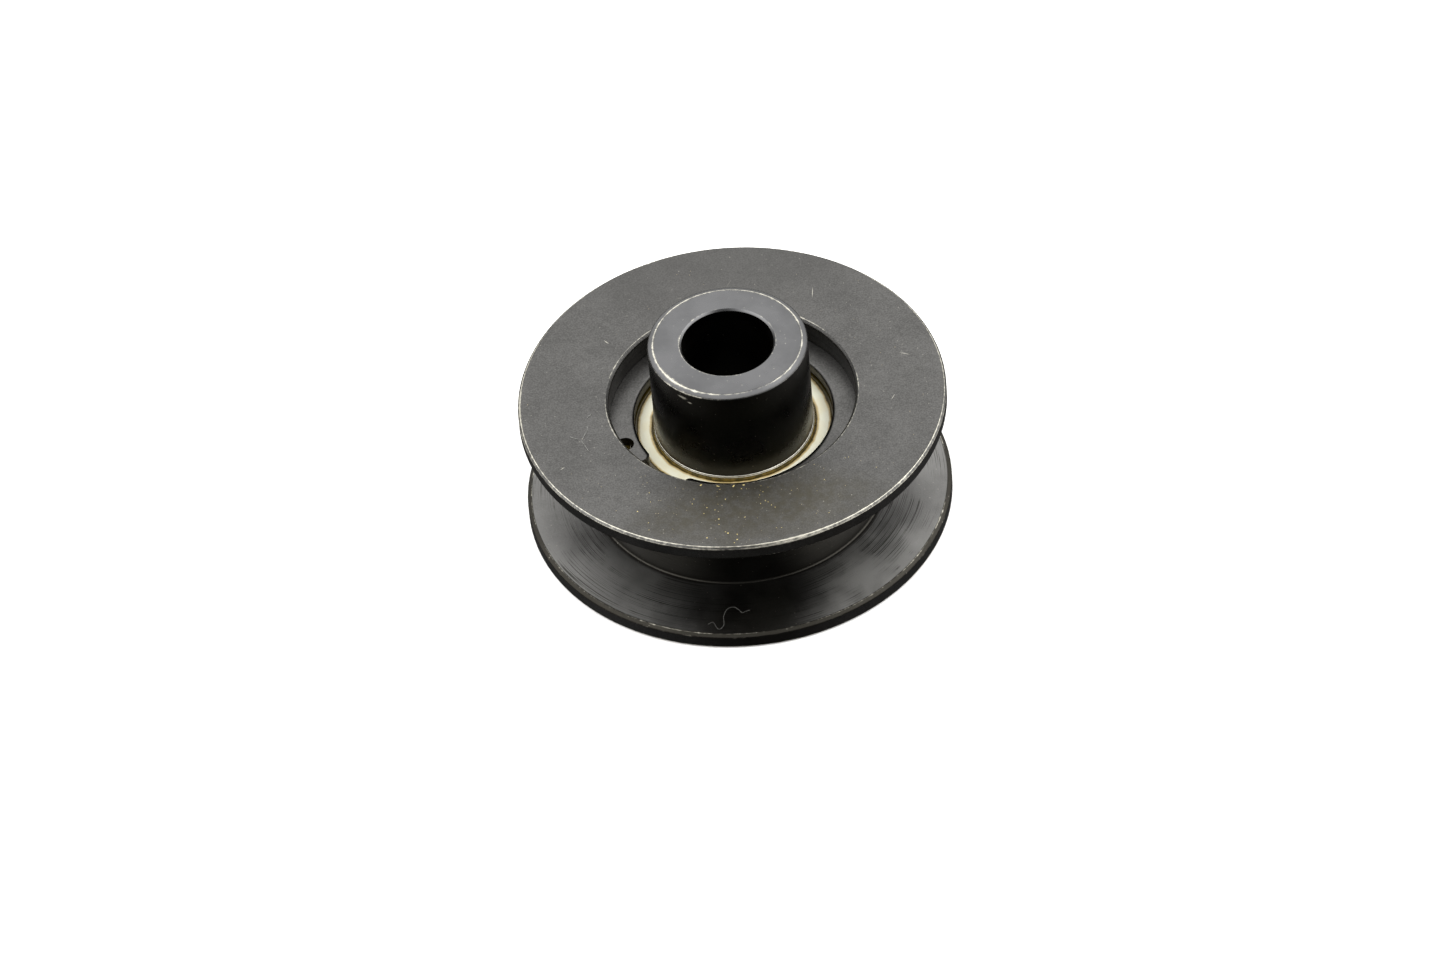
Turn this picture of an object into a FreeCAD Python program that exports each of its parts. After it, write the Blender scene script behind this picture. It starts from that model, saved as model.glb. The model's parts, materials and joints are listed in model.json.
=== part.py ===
"""Grooved cam roller on a shielded ball bearing and a shouldered hub bush.

Millimetres.  The origin lies on the bore's axis, in the middle plane of the groove.
+Z points towards the nose of the hub.  The roller rests on its lower rim at
z = -roller_width / 2.
"""
import FreeCAD, Part
import os
import Sketcher
from FreeCAD import Placement, Rotation, Vector

BALL_COUNT = 10

# Driving sizes, in millimetres and degrees.
SIZES = {
    "roller_diameter": 60.7,      # over both rims
    "roller_width": 20.1,         # from rim face to rim face
    "rim_thickness": 2.25,        # of each rim at its edge
    "rim_break": 0.3,             # bevel on each rim's outer corner
    "flank_break": 0.55,          # bevel where each flank meets its rim
    "flank_angle": 7.0,           # of the groove's flanks, from square to the axis
    "root_wall": 2.43,            # metal between the ring groove and the roller's groove
    "root_fillet": 0.4,           # in the two corners of the roller's groove
    "seat_break": 0.4,            # bevel at the mouth of the bearing seat
    "lip_reach": 2.0,             # how far the lower lip reaches in under the bearing
    "lip_break": 0.4,             # bevel at the mouth of the lower pocket
    "bearing_bore": 17.0,
    "bearing_od": 35.0,
    "bearing_width": 10.0,
    "bearing_corner": 0.3,        # bevel on the corners of both bearing rings
    "ball_diameter": 4.762,
    "race_clearance": 0.05,       # between a ball and each race, radially
    "race_conformity": 0.52,      # race radius as a part of the ball's diameter
    "race_depth": 0.88,           # from the root of a race to the land beside it
    "shield_thickness": 0.3,
    "shield_sink": 0.64,          # from the bearing's face to the shield's flat band
    "shield_gap": 0.15,           # between the inner ring's land and the shield
    "shield_band": 2.1,           # radial width of the flat band
    "shield_step": 0.2,           # rise of the shield outside its flat band
    "shield_seat_depth": 1.0,     # of the outer ring's shield seat, radially
    "shield_seat_sink": 1.25,     # from the bearing's face to the floor of that seat
    "shield_crimp": 0.25,         # overhang of the lip that holds the shield
    "shield_play": 0.03,          # between the shield's edge and its seat
    "cage_thickness": 0.5,
    "cage_width": 2.0,            # of the ribbon, radially
    "pocket_clearance": 0.1,      # between a ball and its pocket
    "rivet_margin": 0.32,         # from a rivet's head to the pockets beside it
    "rivet_head_height": 0.32,
    "rivet_play": 0.02,           # between a rivet's shank and its hole
    "ring_thickness": 1.5,        # of the retaining ring
    "ring_groove_width": 1.6,
    "ring_groove_depth": 1.0,
    "ring_play": 0.05,            # between the ring and the floor of its groove
    "ring_reach": 3.38,           # how far the ring reaches inside the bearing seat
    "ring_gap_angle": 28.0,       # between the ring's two ends
    "ring_gap_direction": -135.0,
    "ring_end_round": 0.8,
    "lug_hole_diameter": 2.5,
    "lug_hole_inset": 1.25,       # from the bearing seat's wall to a hole's centre
    "lug_hole_angle": 15.0,       # from the ring's end to a hole's centre
    "hub_diameter": 22.6,
    "hub_length": 15.4,           # of the head, above the bearing
    "hub_bore": 13.0,
    "hub_nose_bevel": 0.8,        # radial width of the bevel round the nose
    "hub_nose_drop": 0.3,         # height of that bevel
    "hub_bore_break": 0.3,
    "spigot_lead": 0.5,           # bevel on the end of the spigot
    "spigot_fit": 0.01,           # between the spigot and the inner ring
    "seat_fit": 0.01,             # between the outer ring and its seat
}

doc = FreeCAD.newDocument("cam_follower")
sheet = doc.addObject("Spreadsheet::Sheet", "Sizes")
for row, (alias, value) in enumerate(SIZES.items(), start=1):
    sheet.set(f"A{row}", alias.replace("_", " "))
    sheet.set(f"B{row}", str(value))
    sheet.setAlias(f"B{row}", alias)
doc.recompute()

# Heights and radii that more than one piece uses, as expressions on the sheet.
ROLLER_RADIUS = "Sizes.roller_diameter / 2"
ROLLER_FACE = "Sizes.roller_width / 2"
FLANK_AT_RIM = f"({ROLLER_FACE} - Sizes.rim_thickness)"
SEAT_RADIUS = "Sizes.bearing_od / 2"
RING_GROOVE_RADIUS = f"({SEAT_RADIUS} + Sizes.ring_groove_depth)"
ROOT_RADIUS = f"({RING_GROOVE_RADIUS} + Sizes.root_wall)"
FLANK_SLOPE = "tan(Sizes.flank_angle)"
FLANK_AT_ROOT = f"({FLANK_AT_RIM} - ({ROLLER_RADIUS} - {ROOT_RADIUS}) * {FLANK_SLOPE})"
BEARING_FACE = "Sizes.bearing_width / 2"
LIP_RADIUS = f"({SEAT_RADIUS} - Sizes.lip_reach)"
PITCH_RADIUS = "(Sizes.bearing_bore + Sizes.bearing_od) / 4"
BALL_RADIUS = "Sizes.ball_diameter / 2"
RACE_RADIUS = "Sizes.ball_diameter * Sizes.race_conformity"
INNER_ROOT = f"({PITCH_RADIUS} - {BALL_RADIUS} - Sizes.race_clearance)"
OUTER_ROOT = f"({PITCH_RADIUS} + {BALL_RADIUS} + Sizes.race_clearance)"
INNER_LAND = f"({INNER_ROOT} + Sizes.race_depth)"
OUTER_LAND = f"({OUTER_ROOT} - Sizes.race_depth)"
SHIELD_SEAT = f"({OUTER_LAND} + Sizes.shield_seat_depth)"
POCKET_RADIUS = f"({BALL_RADIUS} + Sizes.pocket_clearance)"
CUP_RADIUS = f"({POCKET_RADIUS} + Sizes.cage_thickness)"
HALF_STEP = 180.0 / BALL_COUNT
# The flat between two cups, and the rivet that fits on it.
CUP_AT_FLAT = f"sqrt({CUP_RADIUS} ^ 2 - Sizes.cage_thickness ^ 2)"
FLAT_WIDTH = f"(2 * {PITCH_RADIUS} * sin({HALF_STEP}) - 2 * {CUP_AT_FLAT})"
RIVET_HEAD = f"({FLAT_WIDTH} / 2 - Sizes.rivet_margin)"
RIVET_SHANK = f"({RIVET_HEAD} * 0.55)"

SUBPARTS = []


def new_body(label):
    """A PartDesign body, listed as a sub-part."""
    body = doc.addObject("PartDesign::Body", label)
    body.Label = label
    SUBPARTS.append(body)
    return body


def origin_feature(body, role):
    """One of the body's own origin planes or axes."""
    for feature in body.Origin.OriginFeatures:
        if feature.Role == role:
            return feature
    raise ValueError(f"{body.Label} has no {role}")


def section_sketch(body, name):
    """A sketch in the XZ plane: its x is the radius and its y the height."""
    sketch = body.newObject("Sketcher::SketchObject", name)
    sketch.AttachmentSupport = [(origin_feature(body, "XZ_Plane"), "")]
    sketch.MapMode = "FlatFace"
    return sketch


def bind(sketch, kind, geometry, point, expression):
    """Tie a point of the sketch to the origin at a distance from the sheet."""
    index = sketch.addConstraint(Sketcher.Constraint(kind, -1, 1, geometry, point, 1.0))
    sketch.setExpression(f"Constraints[{index}]", expression)


def draw_outline(sketch, corners):
    """A closed outline.  Its corners start on a circle, and their bound distances
    from the axis and the middle plane then bring each to its place."""
    count = len(corners)
    start = [Rotation(Vector(0, 0, 1), 360.0 * i / count).multVec(Vector(10, 0, 0))
             for i in range(count)]
    for i in range(count):
        sketch.addGeometry(Part.LineSegment(start[i], start[(i + 1) % count]), False)
    for i in range(count):
        sketch.addConstraint(Sketcher.Constraint("Coincident", i, 2, (i + 1) % count, 1))
    for i, (radius, height) in enumerate(corners):
        bind(sketch, "DistanceX", i, 1, radius)
        bind(sketch, "DistanceY", i, 1, height)


def turn(body, name, corners, kind="PartDesign::Revolution"):
    """Turn an outline round the body's Z axis, as metal added or as a groove."""
    sketch = section_sketch(body, name + "_section")
    draw_outline(sketch, corners)
    feature = body.newObject(kind, name)
    feature.Profile = sketch
    feature.ReferenceAxis = (sketch, ["V_Axis"])
    feature.Angle = 360.0
    sketch.Visibility = False
    doc.recompute()
    return feature


def turn_race(body, name, centre_radius):
    """Cut a ball race: a circle of the race's radius, turned round the axis."""
    sketch = section_sketch(body, name + "_section")
    sketch.addGeometry(Part.Circle(Vector(10, 0, 0), Vector(0, 0, 1), 2.0), False)
    sketch.addConstraint(Sketcher.Constraint("PointOnObject", 0, 3, -1))
    bind(sketch, "DistanceX", 0, 3, centre_radius)
    radius = sketch.addConstraint(Sketcher.Constraint("Radius", 0, 2.0))
    sketch.setExpression(f"Constraints[{radius}]", RACE_RADIUS)
    feature = body.newObject("PartDesign::Groove", name)
    feature.Profile = sketch
    feature.ReferenceAxis = (sketch, ["V_Axis"])
    feature.Angle = 360.0
    doc.recompute()
    return feature


def around(body, feature, name, occurrences):
    """Repeat a feature evenly round the body's Z axis."""
    pattern = body.newObject("PartDesign::PolarPattern", name)
    pattern.Originals = [feature]
    pattern.Axis = (origin_feature(body, "Z_Axis"), [""])
    pattern.Angle = 360.0
    pattern.Occurrences = occurrences
    body.Tip = pattern
    doc.recompute()
    return pattern


def place_round(item, radius, angle):
    """Put an item at a radius from the sheet, turned to an angle about Z."""
    item.Placement = Placement(Vector(10, 0, 0), Rotation(Vector(0, 0, 1), angle))
    item.setExpression(".Placement.Base.x", f"{radius} * cos({angle})")
    item.setExpression(".Placement.Base.y", f"{radius} * sin({angle})")


def circular_edges(shape, radius, heights):
    """Names of the circular edges about Z of one radius at the given heights."""
    names = []
    for number, edge in enumerate(shape.Edges, start=1):
        curve = edge.Curve
        if not isinstance(curve, Part.Circle) or abs(curve.Radius - radius) > 1e-4:
            continue
        if any(abs(curve.Center.z - height) < 1e-4 for height in heights):
            names.append(f"Edge{number}")
    return names


def read(expression):
    """The present value of an expression on the sheet."""
    return float(sheet.evalExpression(expression))


def make_roller_body():
    """The turned roller: two rims, the groove between them, the bearing's seat with
    the retaining ring's groove, and a lip that stops the bearing from below."""
    body = new_body("roller_body")
    flank_foot = f"({ROLLER_RADIUS} - Sizes.flank_break)"
    flank_at_foot = f"({FLANK_AT_RIM} - Sizes.flank_break * {FLANK_SLOPE})"
    rim_start = f"({ROLLER_RADIUS} - Sizes.rim_break)"
    rim_upper = f"({ROLLER_FACE} - Sizes.rim_break)"
    rim_lower = f"({FLANK_AT_RIM} + Sizes.flank_break * 0.4)"
    ring_floor = BEARING_FACE
    ring_roof = f"({BEARING_FACE} + Sizes.ring_groove_width)"
    corners = [
        (f"{SEAT_RADIUS} + Sizes.seat_break", ROLLER_FACE),
        (rim_start, ROLLER_FACE),
        (ROLLER_RADIUS, rim_upper),
        (ROLLER_RADIUS, rim_lower),
        (flank_foot, flank_at_foot),
        (ROOT_RADIUS, FLANK_AT_ROOT),
        (ROOT_RADIUS, f"-{FLANK_AT_ROOT}"),
        (flank_foot, f"-{flank_at_foot}"),
        (ROLLER_RADIUS, f"-{rim_lower}"),
        (ROLLER_RADIUS, f"-{rim_upper}"),
        (rim_start, f"-{ROLLER_FACE}"),
        (f"{LIP_RADIUS} + Sizes.lip_break", f"-{ROLLER_FACE}"),
        (LIP_RADIUS, f"-{ROLLER_FACE} + Sizes.lip_break"),
        (LIP_RADIUS, f"-{BEARING_FACE}"),
        (SEAT_RADIUS, f"-{BEARING_FACE}"),
        (SEAT_RADIUS, ring_floor),
        (RING_GROOVE_RADIUS, ring_floor),
        (RING_GROOVE_RADIUS, ring_roof),
        (SEAT_RADIUS, ring_roof),
        (SEAT_RADIUS, f"{ROLLER_FACE} - Sizes.seat_break"),
    ]
    turned = turn(body, "roller_turned", corners)
    root_height = read(FLANK_AT_ROOT)
    root_edges = circular_edges(turned.Shape, read(ROOT_RADIUS), (root_height, -root_height))
    fillet = body.newObject("PartDesign::Fillet", "groove_root_fillet")
    fillet.Base = (turned, root_edges)
    fillet.setExpression("Radius", "Sizes.root_fillet")


def make_bearing_outer_ring():
    """Outer race ring with a crimped shield seat at each end."""
    body = new_body("bearing_outer_ring")
    outside = f"({SEAT_RADIUS} - Sizes.seat_fit)"
    seat_floor = f"({BEARING_FACE} - Sizes.shield_seat_sink)"
    crimp = f"({SHIELD_SEAT} - Sizes.shield_crimp)"
    crimp_start = f"({BEARING_FACE} - Sizes.shield_sink)"
    upper = [
        (OUTER_LAND, seat_floor),
        (SHIELD_SEAT, seat_floor),
        (SHIELD_SEAT, crimp_start),
        (crimp, f"({crimp_start} + Sizes.shield_crimp)"),
        (crimp, BEARING_FACE),
        (f"({outside} - Sizes.bearing_corner)", BEARING_FACE),
        (outside, f"({BEARING_FACE} - Sizes.bearing_corner)"),
    ]
    lower = [(radius, f"-{height}") for radius, height in reversed(upper)]
    turn(body, "outer_ring_turned", upper + lower)
    turn_race(body, "outer_race", f"{OUTER_ROOT} - {RACE_RADIUS}")


def make_bearing_inner_ring():
    """Inner race ring, which sits on the hub's spigot."""
    body = new_body("bearing_inner_ring")
    bore = "Sizes.bearing_bore / 2"
    upper = [
        (INNER_LAND, f"({BEARING_FACE} - Sizes.bearing_corner / 2)"),
        (f"({INNER_LAND} - Sizes.bearing_corner / 2)", BEARING_FACE),
        (f"({bore} + Sizes.bearing_corner)", BEARING_FACE),
        (bore, f"({BEARING_FACE} - Sizes.bearing_corner)"),
    ]
    lower = [(radius, f"-{height}") for radius, height in reversed(upper)]
    turn(body, "inner_ring_turned", upper + lower)
    turn_race(body, "inner_race", f"{INNER_ROOT} + {RACE_RADIUS}")


def make_shield(label, side):
    """Pressed shield: a flat inner band, a small step up and an edge crimped into
    the outer ring.  side is 1 above the balls and -1 below them."""
    body = new_body(label)
    band_top = f"({BEARING_FACE} - Sizes.shield_sink)"
    band_under = f"({band_top} - Sizes.shield_thickness)"
    rim_top = f"({band_top} + Sizes.shield_step)"
    rim_under = f"({band_under} + Sizes.shield_step)"
    edge_under = f"({BEARING_FACE} - Sizes.shield_seat_sink)"
    hole = f"({INNER_LAND} + Sizes.shield_gap)"
    band_end = f"({hole} + Sizes.shield_band)"
    rim_start = f"({band_end} + Sizes.shield_step)"
    turned_in = f"({OUTER_LAND} + Sizes.shield_thickness)"
    edge = f"({SHIELD_SEAT} - Sizes.shield_play)"
    corners = [
        (hole, band_top),
        (band_end, band_top),
        (rim_start, rim_top),
        (turned_in, rim_top),
        (turned_in, band_under),
        (edge, band_under),
        (edge, edge_under),
        (f"({turned_in} - Sizes.shield_thickness)", edge_under),
        (f"({turned_in} - Sizes.shield_thickness)", rim_under),
        (rim_start, rim_under),
        (band_end, band_under),
        (hole, band_under),
    ]
    sign = "" if side > 0 else "-"
    turn(body, label + "_pressed", [(radius, f"{sign}{height}") for radius, height in corners])


def make_cage_half(label, side):
    """Half of the ribbon cage: a flat ribbon with a cup over each ball and a rivet
    hole between each two.  side is 1 for the upper half and -1 for the lower."""
    body = new_body(label)
    inside = f"({PITCH_RADIUS} - Sizes.cage_width / 2)"
    outside = f"({PITCH_RADIUS} + Sizes.cage_width / 2)"
    sign = "" if side > 0 else "-"
    top = f"{sign}Sizes.cage_thickness"
    turn(body, label + "_ribbon", [
        (inside, "0"), (outside, "0"), (outside, top), (inside, top)])
    cup = body.newObject("PartDesign::AdditiveSphere", label + "_cup")
    cup.setExpression("Radius", CUP_RADIUS)
    cup.setExpression(".Placement.Base.x", PITCH_RADIUS)
    around(body, cup, label + "_cups", BALL_COUNT)
    reach = f"({PITCH_RADIUS} + 2 * {CUP_RADIUS})"
    far = f"{sign}2 * {CUP_RADIUS}"
    back = f"-{far}" if side > 0 else far[1:]
    trims = {
        "inner_trim": [("0", back), (inside, back), (inside, far), ("0", far)],
        "outer_trim": [(outside, back), (reach, back), (reach, far), (outside, far)],
        "joint_trim": [("0", back), (reach, back), (reach, "0"), ("0", "0")],
    }
    for name, corners in trims.items():
        turn(body, f"{label}_{name}", corners, kind="PartDesign::Groove")
    pocket = body.newObject("PartDesign::SubtractiveSphere", label + "_pocket")
    pocket.setExpression("Radius", POCKET_RADIUS)
    pocket.setExpression(".Placement.Base.x", PITCH_RADIUS)
    around(body, pocket, label + "_pockets", BALL_COUNT)
    hole = body.newObject("PartDesign::SubtractiveCylinder", label + "_rivet_hole")
    hole.setExpression("Radius", f"{RIVET_SHANK} + Sizes.rivet_play")
    hole.setExpression("Height", "4 * Sizes.cage_thickness")
    hole.setExpression(".Placement.Base.x", f"{PITCH_RADIUS} * cos({HALF_STEP})")
    hole.setExpression(".Placement.Base.y", f"{PITCH_RADIUS} * sin({HALF_STEP})")
    hole.setExpression(".Placement.Base.z", "-2 * Sizes.cage_thickness")
    around(body, hole, label + "_rivet_holes", BALL_COUNT)


def make_ball(number):
    """One bearing ball on the pitch circle."""
    label = f"ball_{number:02d}"
    ball = doc.addObject("Part::Sphere", label)
    ball.Label = label
    ball.setExpression("Radius", BALL_RADIUS)
    place_round(ball, PITCH_RADIUS, (number - 1) * 360.0 / BALL_COUNT)
    SUBPARTS.append(ball)


def make_cage_rivet(number):
    """One rivet that joins the cage's halves between two balls."""
    body = new_body(f"cage_rivet_{number:02d}")
    flat = "Sizes.cage_thickness"
    head_top = f"({flat} + Sizes.rivet_head_height)"
    upper = [
        ("0", head_top),
        (f"{RIVET_HEAD} * 0.5", head_top),
        (RIVET_HEAD, f"({flat} + Sizes.rivet_head_height * 0.4)"),
        (RIVET_HEAD, flat),
        (RIVET_SHANK, flat),
    ]
    lower = [(radius, f"-{height}") for radius, height in reversed(upper)]
    turn(body, body.Label + "_turned", upper + lower)
    place_round(body, PITCH_RADIUS, (2 * number - 1) * HALF_STEP)


def make_retaining_ring():
    """Open spring ring with a plier hole near each end.  It lies on the bearing's
    outer ring, in the groove of the roller's seat."""
    body = new_body("retaining_ring")
    inside = f"({SEAT_RADIUS} - Sizes.ring_reach)"
    outside = f"({RING_GROOVE_RADIUS} - Sizes.ring_play)"
    floor = BEARING_FACE
    roof = f"({BEARING_FACE} + Sizes.ring_thickness)"
    ring = turn(body, "ring_blank", [
        (inside, floor), (outside, floor), (outside, roof), (inside, roof)])
    ring.setExpression("Angle", "360 - Sizes.ring_gap_angle")
    doc.recompute()
    end_edges = [f"Edge{number}" for number, edge in enumerate(ring.Shape.Edges, start=1)
                 if isinstance(edge.Curve, Part.Line) and abs(edge.tangentAt(0).z) > 0.99]
    rounding = body.newObject("PartDesign::Fillet", "ring_end_rounds")
    rounding.Base = (ring, end_edges)
    rounding.setExpression("Radius", "Sizes.ring_end_round")
    doc.recompute()
    hole_circle = f"({SEAT_RADIUS} - Sizes.lug_hole_inset)"
    # The blank is turned anticlockwise from +X, so its gap lies just below +X.
    for name, angle in (
            ("first", "Sizes.lug_hole_angle"),
            ("second", "(-Sizes.ring_gap_angle - Sizes.lug_hole_angle)")):
        hole = body.newObject("PartDesign::SubtractiveCylinder", f"{name}_plier_hole")
        hole.setExpression("Radius", "Sizes.lug_hole_diameter / 2")
        hole.setExpression("Height", "2 * Sizes.ring_thickness")
        hole.setExpression(".Placement.Base.x", f"{hole_circle} * cos({angle})")
        hole.setExpression(".Placement.Base.y", f"{hole_circle} * sin({angle})")
        hole.setExpression(".Placement.Base.z", f"{BEARING_FACE} - Sizes.ring_thickness / 2")
        doc.recompute()
    body.setExpression(
        ".Placement.Rotation.Angle",
        "Sizes.ring_gap_direction + Sizes.ring_gap_angle / 2")


def make_hub_bush():
    """Shouldered hub: a head above the bearing, a spigot through its inner ring and
    a bore right through."""
    body = new_body("hub_bush")
    head = "Sizes.hub_diameter / 2"
    bore = "Sizes.hub_bore / 2"
    spigot = "(Sizes.bearing_bore / 2 - Sizes.spigot_fit)"
    nose = f"({BEARING_FACE} + Sizes.hub_length)"
    corners = [
        (f"({bore} + Sizes.hub_bore_break)", nose),
        (f"({head} - Sizes.hub_nose_bevel)", nose),
        (head, f"({nose} - Sizes.hub_nose_drop)"),
        (head, BEARING_FACE),
        (spigot, BEARING_FACE),
        (spigot, f"-{BEARING_FACE} + Sizes.spigot_lead"),
        (f"({spigot} - Sizes.spigot_lead)", f"-{BEARING_FACE}"),
        (f"({bore} + Sizes.hub_bore_break)", f"-{BEARING_FACE}"),
        (bore, f"-{BEARING_FACE} + Sizes.hub_bore_break"),
        (bore, f"({nose} - Sizes.hub_bore_break)"),
    ]
    turn(body, "hub_turned", corners)


make_roller_body()
make_retaining_ring()
make_hub_bush()
make_bearing_outer_ring()
make_bearing_inner_ring()
make_shield("shield_upper", 1)
make_shield("shield_lower", -1)
make_cage_half("cage_upper", 1)
make_cage_half("cage_lower", -1)
for number in range(1, BALL_COUNT + 1):
    make_ball(number)
    make_cage_rivet(number)
doc.recompute()

for item in doc.Objects:
    if "Invalid" in item.State or "Error" in item.State:
        raise RuntimeError(f"{item.Label} failed: {item.State}")
for subpart in SUBPARTS:
    if subpart.Shape.isNull() or not subpart.Shape.isValid():
        raise RuntimeError(f"{subpart.Label} has no valid shape")

os.makedirs("parts", exist_ok=True)
for subpart in SUBPARTS:
    subpart.Shape.exportStep(f"parts/{subpart.Label}.step")
    print(f"{subpart.Label}: {len(subpart.Shape.Solids)} solid, {subpart.Shape.Volume:.3f} mm3")
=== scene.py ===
import json
import math
import random

import bmesh
import bpy
from mathutils import Matrix, Vector


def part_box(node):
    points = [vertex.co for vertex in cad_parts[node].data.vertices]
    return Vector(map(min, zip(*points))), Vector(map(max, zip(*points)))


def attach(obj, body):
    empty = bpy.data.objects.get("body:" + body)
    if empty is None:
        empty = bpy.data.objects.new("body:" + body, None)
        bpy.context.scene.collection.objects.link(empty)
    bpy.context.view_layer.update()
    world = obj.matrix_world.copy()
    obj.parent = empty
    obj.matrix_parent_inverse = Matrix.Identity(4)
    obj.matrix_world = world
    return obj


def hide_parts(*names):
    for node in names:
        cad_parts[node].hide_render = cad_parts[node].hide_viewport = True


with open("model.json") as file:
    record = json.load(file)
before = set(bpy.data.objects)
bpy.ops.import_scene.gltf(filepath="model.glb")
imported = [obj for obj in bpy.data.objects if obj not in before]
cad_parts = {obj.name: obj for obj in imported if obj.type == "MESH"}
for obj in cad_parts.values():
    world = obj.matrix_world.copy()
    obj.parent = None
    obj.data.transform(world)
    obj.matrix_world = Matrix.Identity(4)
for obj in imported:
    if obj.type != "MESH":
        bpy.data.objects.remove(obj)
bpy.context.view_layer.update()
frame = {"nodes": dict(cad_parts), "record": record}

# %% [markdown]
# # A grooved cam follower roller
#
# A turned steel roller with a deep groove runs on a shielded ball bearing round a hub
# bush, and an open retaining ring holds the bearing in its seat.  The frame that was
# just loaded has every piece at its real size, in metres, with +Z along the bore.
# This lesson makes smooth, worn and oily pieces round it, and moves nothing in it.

MM = 0.001
scene = bpy.context.scene

# %% [markdown]
# ## Sizes
#
# The main sizes come from the frame, so the finished pieces cannot drift away from
# it.  What the frame's boxes don't show, such as the root of the groove, is written
# here once, in millimetres.

# %% Read the sizes
def half_width(node):
    """Radius of a round node, in millimetres."""
    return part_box(node)[1].y / MM


def top_of(node):
    """Height of a node's highest point, in millimetres."""
    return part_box(node)[1].z / MM


ROLLER_RADIUS = half_width("roller_body")
ROLLER_FACE = top_of("roller_body")
SEAT_RADIUS = half_width("bearing_outer_ring")
BEARING_FACE = top_of("bearing_outer_ring")
INNER_LAND = half_width("bearing_inner_ring")
HUB_RADIUS = half_width("hub_bush")
HUB_NOSE = top_of("hub_bush")
HUB_BORE = next(m["dims"]["r_mm"] for m in frame["record"]["mounts"] if m["name"] == "hub_bore")
RING_RADIUS = half_width("retaining_ring")
RING_TOP = top_of("retaining_ring")
SHIELD_RADIUS = half_width("shield_upper")
RIM_THICKNESS = 2.25
FLANK_BREAK = 0.55
GROOVE_MOUTH = ROLLER_FACE - RIM_THICKNESS
ROOT_RADIUS = 20.93
ROOT_HALF_WIDTH = 6.643
FLANK_SLOPE = (GROOVE_MOUTH - ROOT_HALF_WIDTH) / (ROLLER_RADIUS - ROOT_RADIUS)
LIP_RADIUS = 15.5
SPIGOT_RADIUS = 8.49
OUTER_LAND = 14.551
INNER_RACE_ROOT = 10.569
OUTER_RACE_ROOT = 15.431
RACE_RADIUS = 2.476
RACE_DEPTH = 0.88
PITCH_RADIUS = 13.0
SHIELD_HOLE = 11.599
SHIELD_BAND_END = SHIELD_HOLE + 2.1
SHIELD_BAND_TOP = 4.36
SHIELD_GAUGE = 0.3
SHIELD_EDGE = 3.75
print(f"roller {2 * ROLLER_RADIUS:.1f} mm across and {2 * ROLLER_FACE:.1f} mm wide")

# %% [markdown]
# ## Drawing a section
#
# Every turned piece is a flat section spun round the bore's axis.  No real corner is
# perfectly sharp, so each one has its own rounding, and the outline gets a short arc
# there.  The outline also carries a number called `wear`, 1 on an exposed corner and
# falling to 0 along each side, so the bright worn line follows the metal.

# %% Build an outline with rounded, worn corners
ARC_STEPS = 5
FADE_STEPS = (0.12, 0.3, 0.6, 1.0)
RACE_STEPS = 16


def arc_points(corner, before, after, rounding):
    """Points of the arc that rounds a corner, from one side to the other.  A corner
    with no rounding is one plain point."""
    if rounding == 0:
        return [corner]
    to_before = (before - corner).normalized()
    to_after = (after - corner).normalized()
    half_angle = to_before.angle(to_after) / 2
    setback = rounding / math.tan(half_angle)
    setback = min(setback, 0.45 * (before - corner).length, 0.45 * (after - corner).length)
    radius = setback * math.tan(half_angle)
    centre = corner + (to_before + to_after).normalized() * (radius / math.sin(half_angle))
    start = corner + to_before * setback - centre
    end = corner + to_after * setback - centre
    sweep = start.angle(end)
    points = []
    for step in range(ARC_STEPS + 1):
        share = step / ARC_STEPS
        blend = (math.sin((1 - share) * sweep) * start + math.sin(share * sweep) * end)
        points.append(centre + blend / math.sin(sweep))
    return points


def rounded_outline(corners, fade=1.0):
    """A closed outline of (radius, height, wear) from (radius, height, rounding, wear)."""
    places = [Vector(corner[:2]) for corner in corners]
    outline = []
    for i, (_, _, rounding, wear) in enumerate(corners):
        after = (i + 1) % len(corners)
        _, _, next_rounding, next_wear = corners[after]
        arc = arc_points(places[i], places[i - 1], places[after], rounding)
        side = places[after] - arc[-1]
        along = side.normalized()
        steps = [s * fade for s in FADE_STEPS if s * fade < 0.45 * side.length]
        rows = [(point, wear) for point in arc]
        if rounding > 0:
            rows += [(arc[-1] + along * s, wear * (1 - s / fade) ** 2) for s in steps]
        if next_rounding > 0:
            rows += [(places[after] - along * s, next_wear * (1 - s / fade) ** 2)
                     for s in reversed(steps)]
        outline += [(point.x, point.y, worn) for point, worn in rows]
    return outline


def race_arc(root, bulge):
    """Points of a ball race's groove, from its lower edge to its upper one.  bulge is
    1 for the inner ring, whose race faces outwards, and -1 for the outer ring."""
    centre = root + bulge * RACE_RADIUS
    reach = math.acos((RACE_RADIUS - RACE_DEPTH) / RACE_RADIUS)
    points = []
    for step in range(RACE_STEPS + 1):
        angle = -reach + 2 * reach * step / RACE_STEPS
        points.append((centre - bulge * RACE_RADIUS * math.cos(angle),
                       RACE_RADIUS * math.sin(angle), 0.0, 0.0))
    return points


def mirrored(corners):
    """The same corners below the middle plane, in the order that closes a section."""
    return [(radius, -height, rounding, wear)
            for radius, height, rounding, wear in reversed(corners)]


def on_side(corners, side):
    """The same corners above the middle plane (side 1) or below it (side -1)."""
    return [(radius, side * height, rounding, wear)
            for radius, height, rounding, wear in corners]


# %% [markdown]
# ## Wiring nodes in plain sums
#
# Shapes and finishes are both made of nodes.  A node's output is wrapped in a
# `Value`, which can be added, multiplied and compared like a number: each sum adds
# the node that it needs, in the tree that its values come from.  `|` means the larger
# of two masks.

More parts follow.
